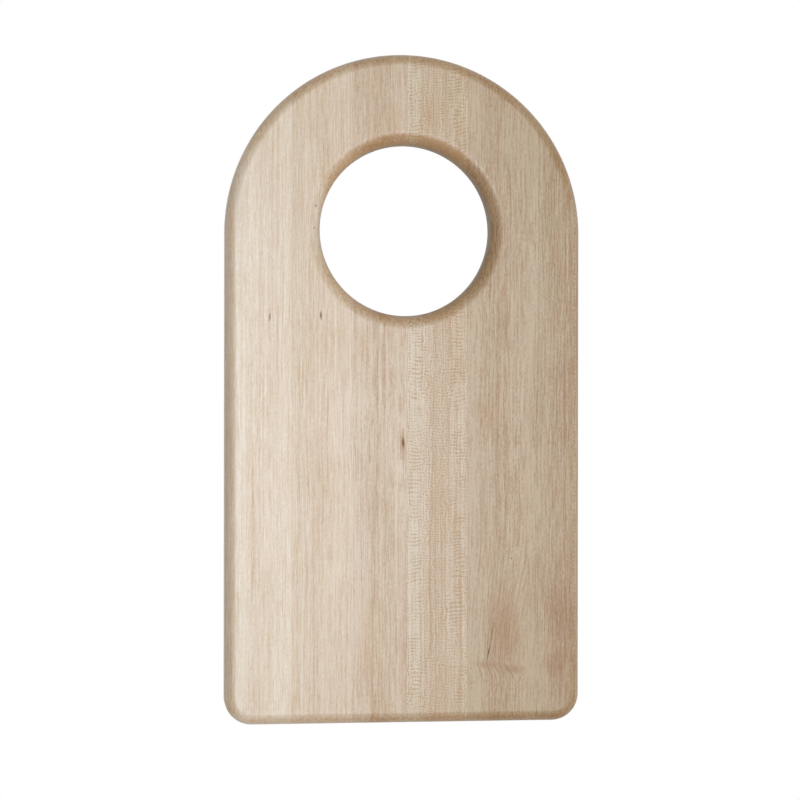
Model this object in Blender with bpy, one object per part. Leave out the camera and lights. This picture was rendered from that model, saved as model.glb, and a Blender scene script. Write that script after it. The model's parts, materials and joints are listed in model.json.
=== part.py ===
"""Edge-glued maple board with an arched end, a round hand hole and deeply rounded edges.

The board lies flat: +Z is up through its thickness, +Y points to the arched end, and the
origin is under the middle of its length and width. Six staves are glued edge to edge. The
hand hole cuts the two middle staves, and the glue lines beside them, into a lower and an
upper piece, so each of those pieces is an object of its own.
"""

import math

import bmesh
import bpy

# Driving dimensions, in metres
BOARD_WIDTH = 0.2413
BOARD_LENGTH = 0.452
BOARD_THICKNESS = 0.0254
EDGE_RADIUS = 0.0079375  # roundover on both faces, along the outside
HOLE_EDGE_RADIUS = 0.009525  # the same in the hand hole, where the fingers go
CORNER_RADIUS = 0.0182  # the two corners of the straight end, seen from above
HOLE_RADIUS = 0.0579
HOLE_SIDE_SHIFT = 0.0013  # the hole's centre, to the right of the board's middle line
HOLE_END_SHIFT = 0.0018  # the hole's centre, past the centre of the arch
STAVE_WIDTHS = (0.04485, 0.0414, 0.0364, 0.0409, 0.0409, 0.03685)
GLUE_THICKNESS = 0.0002
SEAM_GAP = 0.0003  # clearance between a glue line and the stave beside it

# Steps of the rounded shapes
ARCH_STEPS = 48
CORNER_STEPS = 6
HOLE_STEPS = 64
EDGE_STEPS = 5

# Where the arch and the hole are centred
ARCH_CENTRE_Y = BOARD_LENGTH / 2 - BOARD_WIDTH / 2
HOLE_CENTRE = (HOLE_SIDE_SHIFT, ARCH_CENTRE_Y + HOLE_END_SHIFT)

CUTTER_MARGIN = 0.01  # how far a cutter runs past the board
SMOOTH_ANGLE = math.radians(35)

# Base colour and roughness of each stave, from the left edge to the right one
STAVE_FINISHES = (
    ((0.64, 0.51, 0.38), 0.46),
    ((0.60, 0.47, 0.34), 0.46),
    ((0.56, 0.43, 0.32), 0.48),
    ((0.57, 0.44, 0.31), 0.45),
    ((0.53, 0.39, 0.26), 0.47),
    ((0.52, 0.38, 0.25), 0.47),
)
GLUE_FINISH = ((0.50, 0.37, 0.22), 0.40)


def arc(centre, radius, start, end, steps):
    """Points along a circular arc from start to end, in degrees, both ends included."""
    angles = [math.radians(start + (end - start) * i / steps) for i in range(steps + 1)]
    return [(centre[0] + radius * math.cos(a), centre[1] + radius * math.sin(a)) for a in angles]


def outline(inset):
    """The board's outline, counter-clockwise, with every point moved in by inset."""
    corner_x = BOARD_WIDTH / 2 - CORNER_RADIUS
    corner_y = CORNER_RADIUS - BOARD_LENGTH / 2
    corner_radius = CORNER_RADIUS - inset
    points = arc((0.0, ARCH_CENTRE_Y), BOARD_WIDTH / 2 - inset, 0, 180, ARCH_STEPS)
    points += arc((-corner_x, corner_y), corner_radius, 180, 270, CORNER_STEPS)
    points += arc((corner_x, corner_y), corner_radius, 270, 360, CORNER_STEPS)
    return points


def hole_outline(inset):
    """The hand hole's outline, with the wood's edge moved back by inset."""
    points = arc(HOLE_CENTRE, HOLE_RADIUS + inset, 0, 360, HOLE_STEPS)
    return points[:-1]


def edge_profile(radius):
    """(inset, height) pairs up the rounded edge, from the underside to the upper face."""
    angles = [math.radians(90 * i / EDGE_STEPS) for i in range(EDGE_STEPS + 1)]
    lower = [(radius * (1 - math.sin(a)), radius * (1 - math.cos(a))) for a in angles]
    upper = [(inset, BOARD_THICKNESS - height) for inset, height in reversed(lower)]
    return lower + upper


def add_wall(bm, outline_function, edge_radius):
    """Lofts one rounded wall through its outlines. Returns its lowest and highest loops of edges."""
    rings = []
    for inset, height in edge_profile(edge_radius):
        rings.append([bm.verts.new((x, y, height)) for x, y in outline_function(inset)])
    for below, above in zip(rings, rings[1:]):
        for i in range(len(below)):
            bm.faces.new((below[i - 1], below[i], above[i], above[i - 1]))
    loops = []
    for ring in (rings[0], rings[-1]):
        loops.append([bm.edges.get((ring[i - 1], ring[i])) for i in range(len(ring))])
    return loops


def make_board_mesh():
    """The whole board in one piece, before it is parted along its seams."""
    bm = bmesh.new()
    outer_bottom, outer_top = add_wall(bm, outline, EDGE_RADIUS)
    hole_bottom, hole_top = add_wall(bm, hole_outline, HOLE_EDGE_RADIUS)
    bmesh.ops.triangle_fill(bm, use_beauty=True, use_dissolve=False, edges=outer_bottom + hole_bottom)
    bmesh.ops.triangle_fill(bm, use_beauty=True, use_dissolve=False, edges=outer_top + hole_top)
    bmesh.ops.recalc_face_normals(bm, faces=bm.faces)
    mesh = bpy.data.meshes.new("board_blank")
    bm.to_mesh(mesh)
    bm.free()
    mesh.shade_smooth()
    mesh.set_sharp_from_angle(angle=SMOOTH_ANGLE)
    return mesh


def make_material(name, finish):
    """A plain finish from a base colour and a roughness."""
    colour, roughness = finish
    material = bpy.data.materials.new(name)
    material.use_nodes = True
    shader = material.node_tree.nodes["Principled BSDF"]
    shader.inputs["Base Color"].default_value = (*colour, 1.0)
    shader.inputs["Roughness"].default_value = roughness
    shader.inputs["Metallic"].default_value = 0.0
    material.diffuse_color = (*colour, 1.0)
    return material


def add_slab(name, x_range, y_range):
    """A box-shaped guide that says which part of the board one piece keeps."""
    low = (x_range[0], y_range[0], -CUTTER_MARGIN)
    high = (x_range[1], y_range[1], BOARD_THICKNESS + CUTTER_MARGIN)
    bm = bmesh.new()
    bmesh.ops.create_cube(bm, size=1.0)
    for vert in bm.verts:
        for axis in range(3):
            vert.co[axis] = high[axis] if vert.co[axis] > 0 else low[axis]
    mesh = bpy.data.meshes.new(name)
    bm.to_mesh(mesh)
    bm.free()
    slab = bpy.data.objects.new(name, mesh)
    slab.display_type = "WIRE"
    slab.hide_render = True
    bpy.context.scene.collection.objects.link(slab)
    return slab


def add_piece(name, board_mesh, x_range, y_range, material, parent):
    """One separate piece of the board: what lies inside its slab."""
    mesh = board_mesh.copy()
    mesh.name = name
    mesh.materials.append(material)
    piece = bpy.data.objects.new(name, mesh)
    bpy.context.scene.collection.objects.link(piece)
    piece.parent = parent
    cut = piece.modifiers.new("part_from_board", "BOOLEAN")
    cut.operation = "INTERSECT"
    cut.solver = "EXACT"
    cut.object = add_slab(name + "_slab", x_range, y_range)
    return piece


def length_pieces(x_low, x_high):
    """Name endings and Y ranges of the pieces that a strip of the board comes as."""
    end = BOARD_LENGTH / 2 + CUTTER_MARGIN
    hole_left = HOLE_CENTRE[0] - HOLE_RADIUS
    hole_right = HOLE_CENTRE[0] + HOLE_RADIUS
    if x_low < hole_left or x_high > hole_right:
        return [("", (-end, end))]
    return [("_lower", (-end, HOLE_CENTRE[1])), ("_upper", (HOLE_CENTRE[1], end))]


def add_staves(board_mesh, seams, parent):
    """The six staves, with the two that the hole cuts through in two pieces each."""
    outer = BOARD_WIDTH / 2 + CUTTER_MARGIN
    setback = GLUE_THICKNESS / 2 + SEAM_GAP
    lows = [-outer] + [x + setback for x in seams]
    highs = [x - setback for x in seams] + [outer]
    for number, (x_low, x_high, finish) in enumerate(zip(lows, highs, STAVE_FINISHES), 1):
        material = make_material(f"maple_{number}", finish)
        for ending, y_range in length_pieces(x_low, x_high):
            name = f"stave_{number}{ending}"
            add_piece(name, board_mesh, (x_low, x_high), y_range, material, parent)


def add_glue_lines(board_mesh, seams, parent):
    """The thin layer of set glue in each seam, in two pieces where the hole crosses it."""
    material = make_material("wood_glue", GLUE_FINISH)
    for number, seam in enumerate(seams, 1):
        x_range = (seam - GLUE_THICKNESS / 2, seam + GLUE_THICKNESS / 2)
        for ending, y_range in length_pieces(*x_range):
            name = f"glue_{number}_{number + 1}{ending}"
            add_piece(name, board_mesh, x_range, y_range, material, parent)


def main():
    for old in list(bpy.data.objects):
        bpy.data.objects.remove(old, do_unlink=True)
    board = bpy.data.objects.new("board", None)
    bpy.context.scene.collection.objects.link(board)
    seams = []
    x = -BOARD_WIDTH / 2
    for width in STAVE_WIDTHS[:-1]:
        x += width
        seams.append(x)
    board_mesh = make_board_mesh()
    add_staves(board_mesh, seams, board)
    add_glue_lines(board_mesh, seams, board)
    bpy.data.meshes.remove(board_mesh)


main()
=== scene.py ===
import json
import math

import bmesh
import bpy
from mathutils import Matrix, Vector


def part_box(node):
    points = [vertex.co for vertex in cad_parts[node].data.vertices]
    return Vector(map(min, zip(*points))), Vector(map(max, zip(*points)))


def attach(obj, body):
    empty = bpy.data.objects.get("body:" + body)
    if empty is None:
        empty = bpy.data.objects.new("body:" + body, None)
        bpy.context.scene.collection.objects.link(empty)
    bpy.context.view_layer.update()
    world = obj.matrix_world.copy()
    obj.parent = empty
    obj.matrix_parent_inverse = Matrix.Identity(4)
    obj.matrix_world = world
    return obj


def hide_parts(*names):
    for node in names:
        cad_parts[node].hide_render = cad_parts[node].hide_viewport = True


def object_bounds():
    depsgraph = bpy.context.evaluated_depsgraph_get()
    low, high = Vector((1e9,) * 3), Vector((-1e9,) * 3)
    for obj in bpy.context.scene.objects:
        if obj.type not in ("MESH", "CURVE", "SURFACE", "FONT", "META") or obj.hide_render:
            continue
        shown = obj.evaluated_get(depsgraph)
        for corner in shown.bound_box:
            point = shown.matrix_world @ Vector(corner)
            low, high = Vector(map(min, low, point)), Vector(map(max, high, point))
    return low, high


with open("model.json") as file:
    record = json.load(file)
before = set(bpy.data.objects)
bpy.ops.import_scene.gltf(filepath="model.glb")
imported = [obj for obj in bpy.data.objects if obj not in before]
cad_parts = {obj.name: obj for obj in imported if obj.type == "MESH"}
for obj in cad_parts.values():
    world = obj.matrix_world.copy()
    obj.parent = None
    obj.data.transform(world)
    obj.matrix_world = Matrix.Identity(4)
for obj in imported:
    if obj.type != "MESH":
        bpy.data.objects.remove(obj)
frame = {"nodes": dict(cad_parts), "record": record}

# Arched maple board with a round hand hole: six glued staves, parted at their seams.

cadLow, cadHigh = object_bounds()
handHole = frame["record"]["physics"]["openings"][0]["box_m"]
holeCentre = (Vector(handHole[0]) + Vector(handHole[1])) / 2

# ---- what the board is cut to ----
boardShape = {
    "edgeRadius": 0.0079375,  # roundover on both faces along the outside
    "holeEdgeRadius": 0.009525,  # and in the hole
    "cornerRadius": 0.0182,
    "holeRadius": 0.0579,
    "archSteps": 112,
    "cornerSteps": 12,
    "holeSteps": 144,
    "edgeSteps": 12,
    "glueWidth": 0.00008,  # a tight glue line
    "sharpAngle": 35,  # degrees; gentler edges are shaded smooth
}

cutPlan = {  # the board's strips from left to right; the nodes are named after them
    "staves": ["stave_1", "stave_2", "stave_3", "stave_4", "stave_5", "stave_6"],
    "glue": ["glue_1_2", "glue_2_3", "glue_3_4", "glue_4_5", "glue_5_6"],
}


def nodeNames(strip):
    # a strip that the hole cuts through comes as a lower and an upper node
    names = [name for name in (strip, strip + "_lower", strip + "_upper") if name in frame["nodes"]]
    return sorted(names)


def spinArc(bm, start, centre, turn, steps):
    # one vertex spun round a centre; returns the arc's first and last vertex
    first = bm.verts.new(start)
    spun = bmesh.ops.spin(
        bm, geom=[first], cent=centre, axis=(0, 0, 1), angle=turn, steps=steps, use_duplicate=False
    )
    last = [item for item in spun["geom_last"] if isinstance(item, bmesh.types.BMVert)][0]
    return first, last


def makeOutline():
    # the board's outline with its hole, filled as one flat sheet on the underside
    shape = boardShape
    bm = bmesh.new()
    side = cadHigh.x
    archY = cadHigh.y - side
    corner = shape["cornerRadius"]
    lowY = cadLow.y + corner
    quarter = math.pi / 2
    arcs = [
        spinArc(bm, (side, archY, 0), (0, archY, 0), math.pi, shape["archSteps"]),
        spinArc(bm, (-side, lowY, 0), (corner - side, lowY, 0), quarter, shape["cornerSteps"]),
        spinArc(bm, (side - corner, cadLow.y, 0), (side - corner, lowY, 0), quarter, shape["cornerSteps"]),
    ]
    for arc, nextArc in zip(arcs, arcs[1:] + arcs[:1]):
        bm.edges.new((arc[1], nextArc[0]))
    bmesh.ops.create_circle(
        bm,
        cap_ends=False,
        segments=shape["holeSteps"],
        radius=shape["holeRadius"],
        matrix=Matrix.Translation((holeCentre.x, holeCentre.y, 0)),
    )
    bmesh.ops.triangle_fill(bm, use_beauty=True, use_dissolve=False, edges=list(bm.edges))
    return bm


def cutAcross(bm, x, dropLeft=False, dropRight=False):
    # a straight cut along the board at x, dropping what lies on either side if asked
    geometry = list(bm.verts) + list(bm.edges) + list(bm.faces)
    bmesh.ops.bisect_plane(
        bm,
        geom=geometry,
        dist=1e-7,
        plane_co=(x, 0, 0),
        plane_no=(1, 0, 0),
        clear_inner=dropLeft,
        clear_outer=dropRight,
    )


def isHoleRim(edge):
    # a rim that lies on the hole's circle, give or take a hundredth
    middle = (edge.verts[0].co + edge.verts[1].co) / 2
    return (middle.xy - holeCentre.xy).length < boardShape["holeRadius"] * 1.01


def roundOver(bm, edges, radius):
    bmesh.ops.bevel(
        bm,
        geom=edges,
        offset=radius,
        offset_type="OFFSET",
        segments=boardShape["edgeSteps"],
        profile=0.5,
        affect="EDGES",
        clamp_overlap=False,
        material=-1,
    )


def makeBlank():
    # the whole board before it is parted: the sheet thickened, its rims rounded on both faces
    bm = makeOutline()
    cutAcross(bm, holeCentre.x)
    for leftHalf in (True, False):
        half = [face for face in bm.faces if (face.calc_center_median().x < holeCentre.x) == leftHalf]
        bmesh.ops.dissolve_faces(bm, faces=half, use_verts=False)
    raised = bmesh.ops.extrude_face_region(bm, geom=list(bm.faces), use_keep_orig=True)
    upperVerts = [item for item in raised["geom"] if isinstance(item, bmesh.types.BMVert)]
    bmesh.ops.translate(bm, verts=upperVerts, vec=(0, 0, cadHigh.z))
    bmesh.ops.recalc_face_normals(bm, faces=list(bm.faces))
    # rims are the level edges between a face and the wall, where the angle is over one radian
    rims = [edge for edge in bm.edges if len(edge.link_faces) == 2 and edge.calc_face_angle() > 1.0]
    rims = [edge for edge in rims if abs(edge.verts[0].co.z - edge.verts[1].co.z) < 1e-6]
    holeRims = [edge for edge in rims if isHoleRim(edge)]
    outerRims = [edge for edge in rims if not isHoleRim(edge)]
    roundOver(bm, holeRims, boardShape["holeEdgeRadius"])
    roundOver(bm, outerRims, boardShape["edgeRadius"])
    return bm


def keepHalf(bm, upper):
    # of a strip cut in two by the hole, drops the part on the other side of it
    wrong = [face for face in bm.faces if (face.calc_center_median().y > holeCentre.y) != upper]
    bmesh.ops.delete(bm, geom=wrong, context="FACES")


def makePiece(blank, node, lowX, highX):
    # one stave or glue line, sawn from the blank between two seams (None at the board's own edge)
    bm = blank.copy()
    if lowX is not None:
        cutAcross(bm, lowX, dropLeft=True)
    if highX is not None:
        cutAcross(bm, highX, dropRight=True)
    if node.endswith("_lower") or node.endswith("_upper"):
        keepHalf(bm, upper=node.endswith("_upper"))
    openEdges = [edge for edge in bm.edges if edge.is_boundary]
    bmesh.ops.holes_fill(bm, edges=openEdges, sides=0)
    bmesh.ops.recalc_face_normals(bm, faces=list(bm.faces))
    mesh = bpy.data.meshes.new("fine_" + node)
    bm.to_mesh(mesh)
    bm.free()
    mesh.shade_smooth()
    mesh.set_sharp_from_angle(angle=math.radians(boardShape["sharpAngle"]))
    piece = bpy.data.objects.new("fine_" + node, mesh)
    bpy.context.scene.collection.objects.link(piece)
    weighted = piece.modifiers.new("evenShading", "WEIGHTED_NORMAL")
    weighted.keep_sharp = True
    return piece


def middleX(node):
    low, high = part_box(node)
    return (low[0] + high[0]) / 2


seamX = [middleX(nodeNames(strip)[0]) for strip in cutPlan["glue"]]
halfGlue = boardShape["glueWidth"] / 2

blank = makeBlank()
pieces = {}
for index, strip in enumerate(cutPlan["staves"]):
    lowX = seamX[index - 1] + halfGlue if index > 0 else None
    highX = seamX[index] - halfGlue if index < len(seamX) else None
    for node in nodeNames(strip):
        pieces[node] = makePiece(blank, node, lowX, highX)
print("staves cut and rounded:", len(pieces))

for index, strip in enumerate(cutPlan["glue"]):
    for node in nodeNames(strip):
        pieces[node] = makePiece(blank, node, seamX[index] - halfGlue, seamX[index] + halfGlue)
print("glue lines laid, pieces in all:", len(pieces))
blank.free()

# ---- maple, one look per stave ----
woodLook = {
    "deep": (0.67, 0.475, 0.285),  # what the darkest grain does to the pale colour
    "restingDark": 0.45,  # how far from pale to deep plain wood is
    "streaks": (  # frequency per mm, strength
        ((0.42, 0.0030, 0.42), 0.40),
        ((1.15, 0.0050, 1.15), 0.90),
    ),
    "threads": ((0.30, 0.0011, 0.30), 0.045, 0.24),  # frequency, width and strength of the fine dark lines
    "dashes": (  # short pores, frequency per mm and strength
        ((1.25, 0.07, 1.25), 0.90),
        ((1.2, 0.42, 1.2), 0.70),
    ),
    "clouds": ((0.035, 0.012, 0.05), 0.55),
    "tints": ((0.06, 0.006, 0.06), 2.0),  # long bands between the two tints below
    "pinkTint": (1.02, 0.985, 1.01),
    "yellowTint": (0.99, 1.005, 0.95),
    "waver": ((0.012, 0.0075, 0.012), 5.0),  # frequency per mm, shift in mm
    "endGrain": 0.36,  # how much darker end grain is
    "endHatch": 0.50,  # and how uneven
    "hatchGrain": (0.8, 0.10, 0.07),
    "outerEnds": 0.75,  # the share of it on the board's own ends; the hole's wall has all of it, and the extra there is painted shade of the hollow
    "footPaintedLight": 0.24,  # painted light: how much paler the foot's rim is at its left corner, where more light falls on it
    "footRim": (-215.0, -222.0),  # from and to, in mm along the board
    "footReach": (-115.0, 20.0),  # and across it
    "endTint": (1.03, 0.975, 0.90),
    "holeWallShade": (0.16, 0.13),  # painted light and shade on the hole's wall: darker at the upper right of the hole, paler at the lower left
    "holeRim": (10.5, 6.0),  # mm outside the hole where the painted shade of its wall starts and is full
    "roughness": 0.35,
    "darkRough": 0.10,  # dark grain is a little rougher
    "knotRough": 0.45,  # and a knot much more
    "specular": 0.75,
    "bumpHeight": 0.00004,
    "bumpStrength": 0.5,
}

staveLooks = {
    # pale wood colour, heart and gap of the growth rings in mm, how lively the grain is,
    # and the tone across the stave: place in mm, how much darker
    # painted sheen: the pale colours run paler and whiter toward the board's left, partly the maple's own
    # tone and partly a sheen of light painted in
    "maple_1": {
        "pale": (0.633, 0.571, 0.482), "heart": (-90, -60), "ringGap": 3.2, "rings": 0.12,
        "lines": 0.66, "dashes": 0.85, "cloud": 0.6, "tint": 0.45, "seed": 3,
        "tone": ((-119, 0.22), (-112.5, -0.08), (-95, 0.05), (-82, 0.00)),
    },
    "maple_2": {
        "pale": (0.581, 0.502, 0.401), "heart": (-120, -30), "ringGap": 2.6, "rings": 0.20,
        "lines": 0.78, "dashes": 0.9, "cloud": 0.7, "tint": 0.5, "seed": 11,
        "tone": ((-70, -0.01), (-55, 0.04), (-36, -0.03)),
    },
    "maple_3": {
        "pale": (0.495, 0.402, 0.299), "heart": (60, -50), "ringGap": 3.0, "rings": 0.22,
        "lines": 0.92, "dashes": 1.35, "cloud": 1.4, "tint": 0.8, "seed": 19,
        "tone": ((-32, -0.22), (-16, 0.04), (-3, -0.14)),
    },
    "maple_4": {
        "pale": (0.511, 0.440, 0.340), "heart": (140, -8), "ringGap": 4.6, "rings": 0.06,
        "lines": 0.9, "dashes": 0.75, "cloud": 1.0, "tint": 0.9, "seed": 28,
        "tone": ((5, -0.08), (20, 0.27), (38, 0.18)), "fleck": 0.72,
    },
    "maple_5": {
        "pale": (0.383, 0.289, 0.181), "heart": (-40, -60), "ringGap": 2.1, "rings": 0.38,
        "lines": 0.72, "dashes": 1.95, "cloud": 1.4, "tint": 0.8, "seed": 37,
        "tone": ((46, -0.20), (60, 0.05), (80, -0.03)), "sweep": 15.0,
    },
    "maple_6": {
        "pale": (0.363, 0.274, 0.165), "heart": (190, -50), "ringGap": 2.0, "rings": 0.26,
        "lines": 0.85, "dashes": 1.8, "cloud": 1.7, "tint": 0.8, "seed": 47,
        "tone": ((87, -0.20), (106, 0.22), (115, 0.06)), "beads": 116.8,
    },
}


def plug(tree, value, socket):
    # a socket takes either another node's output or a plain value
    if isinstance(value, bpy.types.NodeSocket):
        tree.links.new(value, socket)
    else:
        socket.default_value = value


def sums(tree, operation, *values, clamp=False):
    node = tree.nodes.new("ShaderNodeMath")
    node.operation = operation
    node.use_clamp = clamp
    for value, socket in zip(values, node.inputs):
        plug(tree, value, socket)
    return node.outputs[0]


def scaled(tree, vector, scale, shift=(0, 0, 0)):
    node = tree.nodes.new("ShaderNodeVectorMath")
    node.operation = "MULTIPLY_ADD"
    plug(tree, vector, node.inputs[0])
    plug(tree, scale, node.inputs[1])
    plug(tree, shift, node.inputs[2])
    return node.outputs[0]


def grain(tree, vector, frequency, seed, detail=2.0):
    node = tree.nodes.new("ShaderNodeTexNoise")
    plug(tree, scaled(tree, vector, frequency, (seed * 7.3, seed * 3.1, seed * 5.7)), node.inputs["Vector"])
    node.inputs["Scale"].default_value = 1.0
    node.inputs["Detail"].default_value = detail
    return node.outputs["Fac"]


def around(tree, value, strength):
    # noise swung evenly to either side of nothing
    return sums(tree, "MULTIPLY", sums(tree, "SUBTRACT", value, 0.5), strength)


def ease(tree, value, low, high, toLow=0.0, toHigh=1.0):
    # a soft step between two values
    node = tree.nodes.new("ShaderNodeMapRange")
    node.interpolation_type = "SMOOTHSTEP"
    plug(tree, value, node.inputs["Value"])
    for name, number in zip(("From Min", "From Max", "To Min", "To Max"), (low, high, toLow, toHigh)):
        plug(tree, number, node.inputs[name])
    return node.outputs["Result"]


def blend(tree, amount, first, second, mode="MIX"):
    node = tree.nodes.new("ShaderNodeMix")
    node.data_type = "RGBA"
    node.blend_type = mode
    plug(tree, amount, node.inputs["Factor"])
    for value, socket in ((first, node.inputs[6]), (second, node.inputs[7])):
        plug(tree, (*value, 1.0) if isinstance(value, tuple) else value, socket)
    return node.outputs[2]


def split(tree, vector):
    node = tree.nodes.new("ShaderNodeSeparateXYZ")
    plug(tree, vector, node.inputs[0])
    return node.outputs[0], node.outputs[1], node.outputs[2]


def join(tree, x, y, z):
    node = tree.nodes.new("ShaderNodeCombineXYZ")
    for value, socket in zip((x, y, z), node.inputs):
        plug(tree, value, socket)
    return node.outputs[0]


def spot(tree, place, x, y, width, height, lean=0.0):
    # an oval patch on the upper face, x and y in mm, fading out to its rim and 4 mm deep
    node = tree.nodes.new("ShaderNodeMapping")
    node.vector_type = "TEXTURE"
    plug(tree, place, node.inputs["Vector"])
    node.inputs["Location"].default_value = (x, y, cadHigh.z * 1000)
    node.inputs["Rotation"].default_value = (0, 0, math.radians(lean))
    node.inputs["Scale"].default_value = (width, height, 4.0)
    length = tree.nodes.new("ShaderNodeVectorMath")
    length.operation = "LENGTH"
    tree.links.new(node.outputs[0], length.inputs[0])
    return ease(tree, length.outputs["Value"], 1.0, 0.0)


def ripple(tree, value, gap, phase=0.0):
    # even waves, 0 to 1, one every gap
    turns = sums(tree, "ADD", sums(tree, "MULTIPLY", value, 2 * math.pi / gap), phase)
    return sums(tree, "ADD", sums(tree, "MULTIPLY", sums(tree, "SINE", turns), 0.5), 0.5)


faceMarks = {  # places and sizes in mm from the board's middle
    "maple_1": [
        {"at": (-90.8, 47.8), "size": (0.9, 4.2), "knot": True, "strength": 0.9,
         "colour": (0.42, 0.24, 0.12), "lean": -3},
        # painted sheen: a whiter, bluer patch on the stave's upper part, where the sheen of light falls
        {"at": (-101.0, 100.0), "size": (24.0, 85.0), "strength": 0.8, "colour": (1.06, 1.09, 1.14)},
    ],
    "maple_2": [
        {"at": (-50.0, 32.0), "size": (18.0, 18.0), "strength": 0.6, "colour": (0.92, 0.83, 0.70)},
        {"at": (-40.0, 12.0), "size": (10.0, 40.0), "strength": 0.5, "colour": (0.90, 0.87, 0.84)},
        {"at": (-56.5, 49.0), "size": (1.2, 4.8), "knot": True, "strength": 1.0,
         "colour": (0.34, 0.16, 0.06), "lean": 2},
        {"at": (-60.8, 108.0), "size": (1.2, 1.3), "knot": True, "strength": 1.0,
         "colour": (0.40, 0.20, 0.09)},
        {"at": (-59.8, 122.7), "size": (1.2, 1.3), "knot": True, "strength": 1.0,
         "colour": (0.40, 0.20, 0.09)},
    ],
    "maple_3": [
        {"at": (-0.7, -36.5), "size": (1.5, 5.5), "knot": True, "strength": 1.0,
         "colour": (0.44, 0.22, 0.04), "lean": 4},
        {"at": (-1.4, -38.0), "size": (3.0, 17.0), "strength": 0.80,
         "colour": (0.68, 0.46, 0.24), "lean": 4},
        {"at": (-2.4, -13.0), "size": (1.6, 12.0), "strength": 0.5, "colour": (0.72, 0.52, 0.32)},
        {"at": (-0.6, 34.5), "size": (2.2, 12.0), "strength": 0.5, "colour": (0.85, 0.64, 0.46)},
        {"at": (-8.0, 178.0), "size": (12.0, 24.0), "strength": 0.8, "colour": (0.90, 0.80, 0.66)},
        {"at": (-28.0, -190.0), "size": (7.0, 34.0), "strength": 0.6, "colour": (0.94, 0.86, 0.76)},
        {"at": (-27.7, 28.3), "size": (8.0, 22.0), "strength": 0.45, "colour": (0.87, 0.72, 0.50)},
        {"at": (-24.1, -159.4), "size": (9.0, 44.0), "strength": 0.50, "colour": (0.87, 0.72, 0.50)},
    ],
    "maple_4": [
        {"at": (7.0, -196.0), "size": (8.0, 16.0), "strength": 0.8, "colour": (1.08, 1.11, 1.13)},
        {"at": (16.0, 184.0), "size": (13.0, 26.0), "strength": 0.8, "colour": (0.93, 0.82, 0.68)},
        {"at": (38.2, 15.0), "size": (6.0, 12.0), "strength": 0.5, "colour": (0.88, 0.68, 0.46)},
        {"at": (40.0, 186.0), "size": (7.0, 26.0), "strength": 0.9, "colour": (1.08, 1.12, 1.16)},
    ],
    "maple_5": [
        {"at": (63.0, 116.5), "size": (1.1, 1.2), "knot": True, "strength": 0.9,
         "colour": (0.42, 0.24, 0.12)},
        {"at": (63.2, 109.5), "size": (1.0, 1.0), "knot": True, "strength": 0.9,
         "colour": (0.42, 0.24, 0.12)},
        {"at": (62.6, 113.0), "size": (0.8, 0.8), "knot": True, "strength": 0.7,
         "colour": (0.50, 0.30, 0.16)},
        {"at": (73.4, -115.0), "size": (1.0, 1.0), "knot": True, "strength": 1.0,
         "colour": (0.38, 0.18, 0.08)},
        {"at": (57.8, -178.0), "size": (0.9, 8.0), "knot": True, "strength": 0.95,
         "colour": (0.38, 0.18, 0.08), "lean": -11},
        {"at": (60.3, -165.0), "size": (0.9, 14.0), "knot": True, "strength": 0.6,
         "colour": (0.58, 0.38, 0.22), "lean": -9},
        {"at": (56.5, -187.0), "size": (14.0, 4.2), "strength": 0.75,
         "colour": (0.76, 0.56, 0.36), "lean": -6},
        {"at": (74.0, -190.5), "size": (13.0, 4.6), "strength": 0.75,
         "colour": (0.74, 0.53, 0.33), "lean": -7},
        {"at": (56.0, -17.0), "size": (12.0, 15.0), "strength": 0.60, "colour": (0.88, 0.68, 0.42)},
        {"at": (69.0, -163.0), "size": (17.0, 42.0), "strength": 0.95, "colour": (0.81, 0.63, 0.40)},
        {"at": (48.0, 186.0), "size": (8.0, 30.0), "strength": 0.9, "colour": (1.12, 1.16, 1.20)},
    ],
    "maple_6": [
        {"at": (104.0, -68.0), "size": (12.0, 24.0), "strength": 0.7, "colour": (0.92, 0.82, 0.71)},
        {"at": (107.0, -150.0), "size": (15.0, 30.0), "strength": 0.65, "colour": (0.82, 0.62, 0.40)},
        {"at": (104.0, -188.0), "size": (13.0, 16.0), "strength": 0.65, "colour": (0.82, 0.62, 0.40)},
        {"at": (89.0, 98.0), "size": (7.0, 75.0), "strength": 0.9, "colour": (1.07, 1.11, 1.22)},
    ],
}


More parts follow.
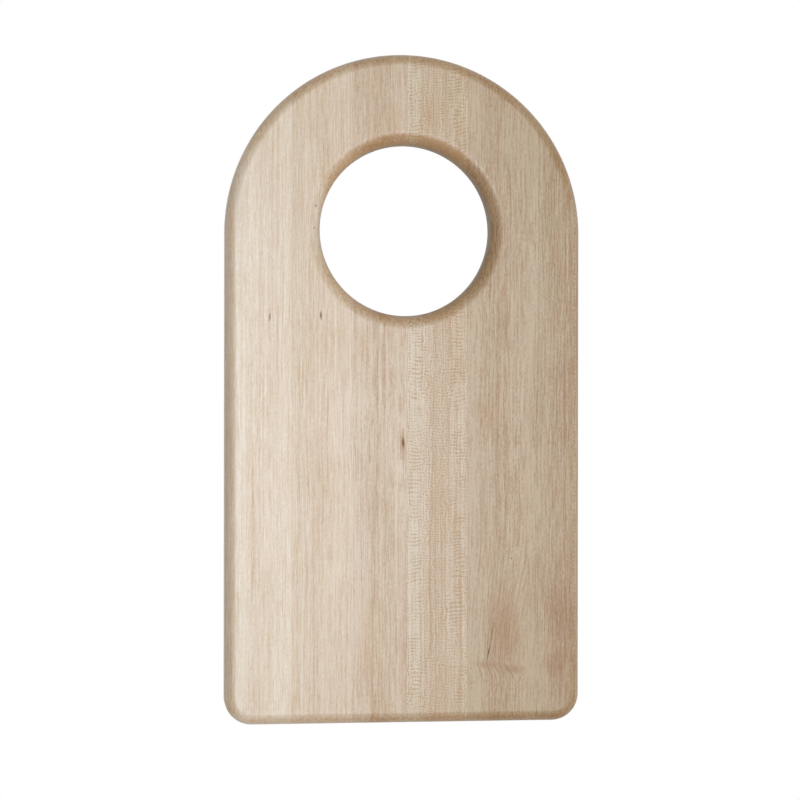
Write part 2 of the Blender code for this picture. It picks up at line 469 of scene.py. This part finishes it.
def makeMaple(name, look):
    material = bpy.data.materials.new(name)
    material.use_nodes = True
    tree = material.node_tree
    shader = tree.nodes["Principled BSDF"]
    coordinates = tree.nodes.new("ShaderNodeTexCoord")
    place = scaled(tree, coordinates.outputs["Object"], (1000, 1000, 1000))
    seed = look["seed"]

    # the fibres wander a little on their way along the stave
    frequency, shift = woodLook["waver"]
    waverX = around(tree, grain(tree, place, frequency, seed), shift)
    waverZ = around(tree, grain(tree, place, frequency, seed + 0.5), shift)
    x, y, z = split(tree, place)
    if "sweep" in look:
        waverX = sums(tree, "ADD", waverX, makeSweep(tree, x, y, look["sweep"]))
    bent = join(tree, sums(tree, "ADD", x, waverX), y, sums(tree, "ADD", z, waverZ))
    bentX, _, bentZ = split(tree, bent)

    # growth rings round a heart that lies outside the stave
    heartX, heartZ = look["heart"]
    ringX = sums(tree, "POWER", sums(tree, "SUBTRACT", bentX, heartX), 2.0)
    ringZ = sums(tree, "POWER", sums(tree, "SUBTRACT", bentZ, heartZ), 2.0)
    distance = sums(tree, "SQRT", sums(tree, "ADD", ringX, ringZ))
    uneven = around(tree, grain(tree, join(tree, distance, y, 0.0), (0.11, 0.002, 1.0), seed), 3.0)
    ringPlace = sums(tree, "ADD", sums(tree, "DIVIDE", distance, look["ringGap"]), uneven)
    ringStep = sums(tree, "FRACT", ringPlace)
    ringLine = ease(tree, ringStep, 0.0, 0.22, 1.0, 0.0)  # sharp on one side, soft on the other
    ringBody = ease(tree, ringStep, 0.3, 1.0)
    rings = sums(tree, "ADD", sums(tree, "MULTIPLY", ringLine, 0.6), sums(tree, "MULTIPLY", ringBody, 0.5))

    dark = sums(tree, "MULTIPLY", sums(tree, "SUBTRACT", rings, 0.35), look["rings"])
    layers = [(*layer, look["lines"]) for layer in woodLook["streaks"]]
    layers += [(*layer, look["dashes"]) for layer in woodLook["dashes"]]
    for step, (frequency, strength, share) in enumerate(layers):
        streak = grain(tree, bent, frequency, seed + step, detail=1.5)
        dark = sums(tree, "ADD", dark, around(tree, streak, strength * share))
    frequency, width, strength = woodLook["threads"]
    thread = grain(tree, bent, frequency, seed + 14, detail=1.0)
    thread = sums(tree, "ABSOLUTE", sums(tree, "SUBTRACT", thread, 0.5))
    thread = ease(tree, thread, 0.0, width, strength * look["lines"], 0.0)
    dark = sums(tree, "ADD", dark, sums(tree, "SUBTRACT", thread, 0.3 * strength))
    frequency, strength = woodLook["clouds"]
    cloud = around(tree, grain(tree, place, frequency, seed + 7, detail=3.0), strength * look["cloud"])
    dark = sums(tree, "ADD", dark, cloud)
    (fromX, tone), *others = look["tone"]
    toneSoFar = tone
    for toX, toTone in others:  # lighter and darker sides of the stave
        toneSoFar = sums(tree, "ADD", toneSoFar, ease(tree, x, fromX, toX, 0.0, toTone - tone))
        fromX, tone = toX, toTone
    dark = sums(tree, "ADD", dark, toneSoFar)

    if "fleck" in look:
        dark = sums(tree, "ADD", dark, makeFleck(tree, bent, look, seed))
    if "beads" in look:
        dark = sums(tree, "ADD", dark, makeBeads(tree, x, y, look["beads"], seed))

    # end grain is darker and shows the cut fibres
    normal = tree.nodes.new("ShaderNodeNewGeometry").outputs["Normal"]
    endFace = ease(tree, sums(tree, "ABSOLUTE", split(tree, normal)[1]), 0.02, 0.60)
    hatch = around(tree, grain(tree, place, woodLook["hatchGrain"], seed + 12), woodLook["endHatch"])
    # painted shade in the hole: its wall gets all the end-grain darkening and tint, and is darker at the
    # upper right and paler at the lower left, as light falls in it
    onWall, paintedWallShade = makeHolePaintedShade(tree, x, y)
    endFace = sums(tree, "MULTIPLY", endFace, ease(tree, onWall, 0.0, 1.0, woodLook["outerEnds"], 1.0))
    endDark = sums(tree, "MULTIPLY", endFace, sums(tree, "ADD", hatch, woodLook["endGrain"]))
    dark = sums(tree, "ADD", dark, endDark)
    dark = sums(tree, "ADD", dark, paintedWallShade)
    # painted light: the foot's rim is made paler toward its left corner, where more light falls on it
    footRim = ease(tree, y, *woodLook["footRim"])
    paintedLightAtFoot = sums(tree, "MULTIPLY", footRim, ease(tree, x, *woodLook["footReach"], 1.0, 0.0))
    dark = sums(tree, "SUBTRACT", dark, sums(tree, "MULTIPLY", paintedLightAtFoot, woodLook["footPaintedLight"]))

    dark = sums(tree, "ADD", dark, woodLook["restingDark"], clamp=True)
    pale = look["pale"]
    deep = tuple(value * share for value, share in zip(pale, woodLook["deep"]))
    colour = blend(tree, dark, pale, deep)
    frequency, strength = woodLook["tints"]
    tint = around(tree, grain(tree, bent, frequency, seed + 9), strength * look["tint"])
    tint = sums(tree, "ADD", tint, 0.5, clamp=True)
    tint = blend(tree, tint, woodLook["yellowTint"], woodLook["pinkTint"])
    colour = blend(tree, 1.0, colour, tint, "MULTIPLY")
    colour = blend(tree, endFace, colour, blend(tree, 1.0, colour, woodLook["endTint"], "MULTIPLY"))

    knots = 0.0
    for mark in faceMarks.get(name, []):
        amount = spot(tree, place, *mark["at"], *mark["size"], mark.get("lean", 0.0))
        amount = sums(tree, "MULTIPLY", amount, mark["strength"])
        colour = blend(tree, amount, colour, blend(tree, 1.0, colour, mark["colour"], "MULTIPLY"))
        if mark.get("knot"):
            knots = sums(tree, "ADD", knots, amount)
    tree.links.new(colour, shader.inputs["Base Color"])

    rough = sums(tree, "ADD", woodLook["roughness"], around(tree, dark, woodLook["darkRough"]))
    rough = sums(tree, "ADD", rough, sums(tree, "MULTIPLY", knots, woodLook["knotRough"]))
    tree.links.new(rough, shader.inputs["Roughness"])
    shader.inputs["Specular IOR Level"].default_value = woodLook["specular"]
    bump = tree.nodes.new("ShaderNodeBump")
    bump.inputs["Strength"].default_value = woodLook["bumpStrength"]
    bump.inputs["Distance"].default_value = woodLook["bumpHeight"]
    tree.links.new(sums(tree, "SUBTRACT", 1.0, dark), bump.inputs["Height"])
    tree.links.new(bump.outputs[0], shader.inputs["Normal"])
    return material


def makeHolePaintedShade(tree, x, y):
    # how far a point is on the hole's rounded wall, and how much painted shade or light it gets there,
    # darker at the upper right and paler at the lower left
    radius = boardShape["holeRadius"] * 1000
    offX = sums(tree, "SUBTRACT", x, holeCentre.x * 1000)
    offY = sums(tree, "SUBTRACT", y, holeCentre.y * 1000)
    square = sums(tree, "ADD", sums(tree, "POWER", offX, 2.0), sums(tree, "POWER", offY, 2.0))
    start, full = woodLook["holeRim"]
    onWall = ease(tree, sums(tree, "SQRT", square), radius + start, radius + full)
    aside = sums(tree, "ADD", sums(tree, "MULTIPLY", offX, 0.55), sums(tree, "MULTIPLY", offY, 0.83))
    more, less = woodLook["holeWallShade"]
    shade = ease(tree, aside, -0.6 * radius, 0.6 * radius, -less, more)
    return onWall, sums(tree, "MULTIPLY", onWall, shade)


sweepLook = {  # mm from the board's middle
    "across": (44.0, 84.0),
    "leastShare": 0.25,  # of the bend, at the side that is far from the knot
    "bendsOut": (-95.0, -188.0),
    "bendsBack": (-185.0, -196.0),
    "backShare": 0.65,
}


def makeSweep(tree, x, y, reach):
    # near the foot the grain of one stave bends round a knot that was sawn away
    towardKnot = ease(tree, x, *sweepLook["across"], sweepLook["leastShare"], 1.0)
    down = ease(tree, y, *sweepLook["bendsOut"], 0.0, reach)
    back = ease(tree, y, *sweepLook["bendsBack"], 0.0, sweepLook["backShare"] * reach)
    return sums(tree, "MULTIPLY", towardKnot, sums(tree, "SUBTRACT", down, back))


beadLook = {
    "drift": ((1.0, 0.012, 1.0), 1.6),  # frequency per mm, and how far the row strays in mm
    "halfWidth": (0.2, 0.9),  # mm, full and faded out
    "gap": 3.1,
    "uneven": ((1.0, 0.11, 1.0), 14.0),
    "strength": 0.60,
}


def makeBeads(tree, x, y, line, seed):
    # a row of small dark dots where one ring just meets the face
    along = join(tree, 0.0, y, 0.0)
    frequency, shift = beadLook["drift"]
    drift = around(tree, grain(tree, along, frequency, seed + 30), shift)
    offLine = sums(tree, "ABSOLUTE", sums(tree, "SUBTRACT", sums(tree, "ADD", x, drift), line))
    row = ease(tree, offLine, *beadLook["halfWidth"], 1.0, 0.0)
    frequency, shift = beadLook["uneven"]
    phase = around(tree, grain(tree, along, frequency, seed + 31), shift)
    bead = ease(tree, ripple(tree, y, beadLook["gap"], phase), 0.45, 0.9)
    return sums(tree, "MULTIPLY", sums(tree, "MULTIPLY", row, bead), beadLook["strength"])


fleckLook = {  # mm
    "rungGap": 2.45,
    "leftColumn": ((2.0, 4.5), (13.5, 9.5)),  # where it fades in and, from the other side, out
    "rightColumn": ((28.5, 33.0), (43.5, 40.0)),
    "dotGap": (2.1, 1.85),  # across and along
    "dotsInColumns": 0.40,  # how much fainter the dots are there
    "rungStrength": 0.72,
    "dotStrength": 1.25,
    "balance": 0.22,  # taken off again, so that the stave keeps its tone
}


def makeColumn(tree, x, fadeIn, fadeOut):
    return sums(tree, "MULTIPLY", ease(tree, x, *fadeIn), ease(tree, x, *fadeOut))


def makeFleck(tree, bent, look, seed):
    # ray fleck: ladders of short cross dashes at both sides of the stave, woven dots all over it
    x, y, _ = split(tree, bent)
    rungGap = fleckLook["rungGap"]
    phase = around(tree, grain(tree, bent, (0.05, 0.028, 0.05), seed + 20), 26.0)
    rung = ease(tree, ripple(tree, y, rungGap, phase), 0.45, 0.95)
    rungStep = sums(tree, "FLOOR", sums(tree, "DIVIDE", y, rungGap))
    reach = grain(tree, join(tree, x, rungStep, 0.0), (0.30, 0.37, 1.0), seed + 21, detail=1.0)
    patches = grain(tree, bent, (0.10, 0.035, 0.10), seed + 22, detail=1.0)
    left = makeColumn(tree, x, *fleckLook["leftColumn"])
    right = makeColumn(tree, x, *fleckLook["rightColumn"])
    columns = sums(tree, "MAXIMUM", left, right)
    shown = sums(tree, "MULTIPLY", ease(tree, reach, 0.40, 0.52), ease(tree, patches, 0.36, 0.54, 0.35, 1.0))
    ladder = sums(tree, "MULTIPLY", sums(tree, "MULTIPLY", rung, shown), columns)

    phaseX = around(tree, grain(tree, bent, (0.17, 0.13, 0.17), seed + 23), 20.0)
    phaseY = around(tree, grain(tree, bent, (0.17, 0.11, 0.17), seed + 24), 20.0)
    acrossGap, alongGap = fleckLook["dotGap"]
    dots = sums(tree, "MULTIPLY", ripple(tree, x, acrossGap, phaseX), ripple(tree, y, alongGap, phaseY))
    dots = ease(tree, dots, 0.20, 0.80)
    between = sums(tree, "SUBTRACT", 1.0, sums(tree, "MULTIPLY", columns, fleckLook["dotsInColumns"]))
    lively = ease(tree, grain(tree, bent, (0.07, 0.03, 0.07), seed + 25), 0.35, 0.62, 0.45, 1.0)
    woven = sums(tree, "MULTIPLY", sums(tree, "MULTIPLY", dots, between), lively)
    ladder = sums(tree, "MULTIPLY", ladder, fleckLook["rungStrength"])
    woven = sums(tree, "MULTIPLY", woven, fleckLook["dotStrength"])
    both = sums(tree, "ADD", ladder, woven)
    return sums(tree, "MULTIPLY", sums(tree, "SUBTRACT", both, fleckLook["balance"]), look["fleck"])


glueLook = {
    "pale": (0.36, 0.26, 0.17),
    "deep": (0.27, 0.18, 0.10),
    "speck": ((0.9, 0.12, 0.9), 61),  # frequency per mm, seed
    "roughness": 0.45,
    "bumpStrength": 0.4,
}


def makeGlue():
    # a hairline of dried wood glue, a shade darker than the maple on either side
    material = bpy.data.materials.new("wood_glue")
    material.use_nodes = True
    tree = material.node_tree
    shader = tree.nodes["Principled BSDF"]
    coordinates = tree.nodes.new("ShaderNodeTexCoord")
    place = scaled(tree, coordinates.outputs["Object"], (1000, 1000, 1000))
    speck = grain(tree, place, *glueLook["speck"], detail=3.0)
    tree.links.new(blend(tree, speck, glueLook["pale"], glueLook["deep"]), shader.inputs["Base Color"])
    rough = sums(tree, "ADD", around(tree, speck, 0.2), glueLook["roughness"])
    tree.links.new(rough, shader.inputs["Roughness"])
    bump = tree.nodes.new("ShaderNodeBump")
    bump.inputs["Strength"].default_value = glueLook["bumpStrength"]
    bump.inputs["Distance"].default_value = woodLook["bumpHeight"]
    tree.links.new(speck, bump.inputs["Height"])
    tree.links.new(bump.outputs[0], shader.inputs["Normal"])
    return material


materials = {name: makeMaple(name, look) for name, look in staveLooks.items()}
materials["wood_glue"] = makeGlue()
for node, piece in pieces.items():
    material = "wood_glue" if node.startswith("glue") else "maple_" + node.split("_")[1]
    piece.data.materials.append(materials[material])
    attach(piece, "root")
    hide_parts(node)
print("materials made:", len(materials))

# ---- floor, light and camera ----
studio = {
    "floorSize": 4.0,
    "floorGap": 0.0002,  # keeps the floor just clear of the board's underside
    "fillAbove": 0.50,  # even light of the room
    "fillBelow": 0.24,
    "fillHorizon": (-0.1, 0.1),  # how softly one turns into the other
    # painted shadow: how bright the floor glows under the hole, where the hole's wall mirrors it
    "mirroredInHole": 0.55,
    "mirrorFade": 0.02,
    "lamps": {  # place, width and length, watts
        "overhead": ((0.0, 0.0, 2.2), (1.8, 1.8), 18.5),
        "nearCamera": ((-0.02, -0.03, 1.62), (0.25, 0.25), 1.85),
        "belowCamera": ((-0.02, -0.42, 1.60), (0.25, 0.40), 1.05),
        "frontRight": ((0.55, 0.0, 1.5), (0.5, 0.5), 1.4),
        "right": ((1.2, 0.0, 1.0), (0.8, 0.8), 3.0),
        "rightLow": ((1.5, 0.0, 0.3), (0.8, 0.8), 4.2),
        "foot": ((0.0, -1.3, 1.0), (0.8, 0.8), 0.7),
    },
}

cameraView = {
    "sensor": 36.0,
    "lens": 102.81,
    "distance": 1.5531,
    "farthest": 20.0,
    "aim": (-0.0014, -0.0077),
    "turn": -0.1204,  # radians: seen a little from the left
    "tilt": -0.0011,
    "roll": 0.0014,
}


def makeFloor():
    bm = bmesh.new()
    bmesh.ops.create_grid(bm, x_segments=1, y_segments=1, size=studio["floorSize"])
    bmesh.ops.translate(bm, verts=bm.verts, vec=(0, 0, cadLow.z - studio["floorGap"]))
    mesh = bpy.data.meshes.new("floor")
    bm.to_mesh(mesh)
    bm.free()
    floor = bpy.data.objects.new("floor", mesh)
    bpy.context.scene.collection.objects.link(floor)
    material = bpy.data.materials.new("paleFloor")
    material.use_nodes = True
    tree = material.node_tree
    tree.nodes.clear()
    glow = tree.nodes.new("ShaderNodeEmission")
    glow.inputs["Color"].default_value = (1, 1, 1, 1)
    # painted shadow: what the hole's wall mirrors is dim, standing in for the board's shadow on the floor
    # under it; what the outer edges mirror is bright
    place = tree.nodes.new("ShaderNodeTexCoord").outputs["Object"]
    fromHole = tree.nodes.new("ShaderNodeVectorMath")
    fromHole.operation = "DISTANCE"
    tree.links.new(place, fromHole.inputs[0])
    fromHole.inputs[1].default_value = (holeCentre.x, holeCentre.y, 0.0)
    radius = boardShape["holeRadius"]
    fadeTo = radius + studio["mirrorFade"]
    mirrored = ease(tree, fromHole.outputs["Value"], radius, fadeTo, studio["mirroredInHole"], 1.0)
    seen = tree.nodes.new("ShaderNodeLightPath").outputs["Is Camera Ray"]
    tree.links.new(sums(tree, "MAXIMUM", seen, mirrored), glow.inputs["Strength"])
    out = tree.nodes.new("ShaderNodeOutputMaterial")
    tree.links.new(glow.outputs[0], out.inputs["Surface"])
    mesh.materials.append(material)
    floor.visible_diffuse = False
    floor.visible_shadow = False


def makeLamp(name, place, size, power):
    data = bpy.data.lights.new(name, "AREA")
    data.shape = "RECTANGLE"
    data.size, data.size_y = size
    data.energy = power
    lamp = bpy.data.objects.new(name, data)
    bpy.context.scene.collection.objects.link(lamp)
    lamp.location = place
    away = Vector(place) - Vector((0, 0, cadHigh.z))
    lamp.rotation_euler = away.to_track_quat("Z", "Y").to_euler()


def makeWorld():
    world = bpy.data.worlds.new("studio")
    bpy.context.scene.world = world
    world.use_nodes = True
    tree = world.node_tree
    tree.nodes.clear()
    seen = tree.nodes.new("ShaderNodeBackground")
    seen.inputs["Strength"].default_value = 1.0
    seen.inputs["Color"].default_value = (1, 1, 1, 1)
    fill = tree.nodes.new("ShaderNodeBackground")
    direction = tree.nodes.new("ShaderNodeTexCoord")
    height = split(tree, direction.outputs["Generated"])[2]
    strength = ease(tree, height, *studio["fillHorizon"], studio["fillBelow"], studio["fillAbove"])
    tree.links.new(strength, fill.inputs["Strength"])
    fill.inputs["Color"].default_value = (1, 1, 1, 1)
    path = tree.nodes.new("ShaderNodeLightPath")
    mix = tree.nodes.new("ShaderNodeMixShader")
    out = tree.nodes.new("ShaderNodeOutputWorld")
    tree.links.new(path.outputs["Is Camera Ray"], mix.inputs[0])
    tree.links.new(fill.outputs[0], mix.inputs[1])
    tree.links.new(seen.outputs[0], mix.inputs[2])
    tree.links.new(mix.outputs[0], out.inputs["Surface"])


def makeCamera():
    data = bpy.data.cameras.new("camera")
    data.sensor_width = cameraView["sensor"]
    data.lens = cameraView["lens"]
    data.clip_end = cameraView["farthest"]
    camera = bpy.data.objects.new("camera", data)
    bpy.context.scene.collection.objects.link(camera)
    camera.rotation_mode = "ZXY"
    camera.rotation_euler = (cameraView["tilt"], cameraView["turn"], cameraView["roll"])
    turned = camera.rotation_euler.to_matrix()
    aim = Vector((*cameraView["aim"], cadHigh.z / 2))
    camera.location = aim + turned @ Vector((0, 0, cameraView["distance"]))
    bpy.context.scene.camera = camera


makeFloor()
for name, (place, size, power) in studio["lamps"].items():
    makeLamp(name, place, size, power)
makeWorld()
makeCamera()
bpy.context.scene.view_settings.view_transform = "Standard"
